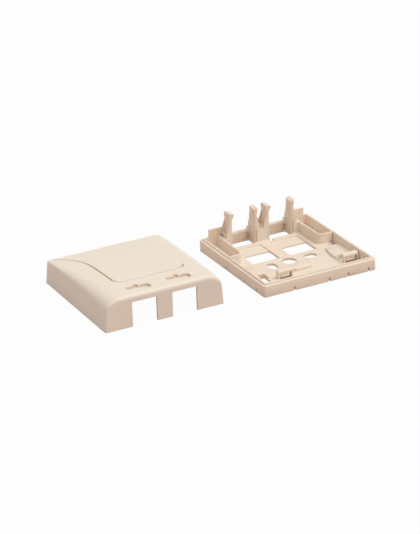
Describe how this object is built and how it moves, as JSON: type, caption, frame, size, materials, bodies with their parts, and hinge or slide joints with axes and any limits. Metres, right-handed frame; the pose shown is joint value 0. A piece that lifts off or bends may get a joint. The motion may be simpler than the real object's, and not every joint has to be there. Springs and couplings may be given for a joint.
{
  "type": "surface mount jack box",
  "caption": "Surface mount box for modular jacks: open wall base with jack arms, floor windows and cable anchors, and a curved cover with port openings that clips on, laid beside it.",
  "frame": {"origin": "middle of the base's flat underside, the face that goes on the wall", "axes": "+Z out of the wall, +Y towards the port side of the base, +X to the right seen from above with the ports away from the viewer"},
  "size_m": [0.1612, 0.0797, 0.0221],
  "materials": {
    "base_plastic": "fine moulded satin, warm ivory",
    "cover_plastic": "fine moulded satin, warm ivory"
  },
  "bodies": {
    "base": {"base": "base_plastic"},
    "cover": {"cover": "cover_plastic"}
  },
  "joints": [
    {"name": "cover_lift", "type": "slide", "parent": "base", "child": "cover", "axis": [0, 0, 1], "range_m": [0, 0.03]}
  ]
}
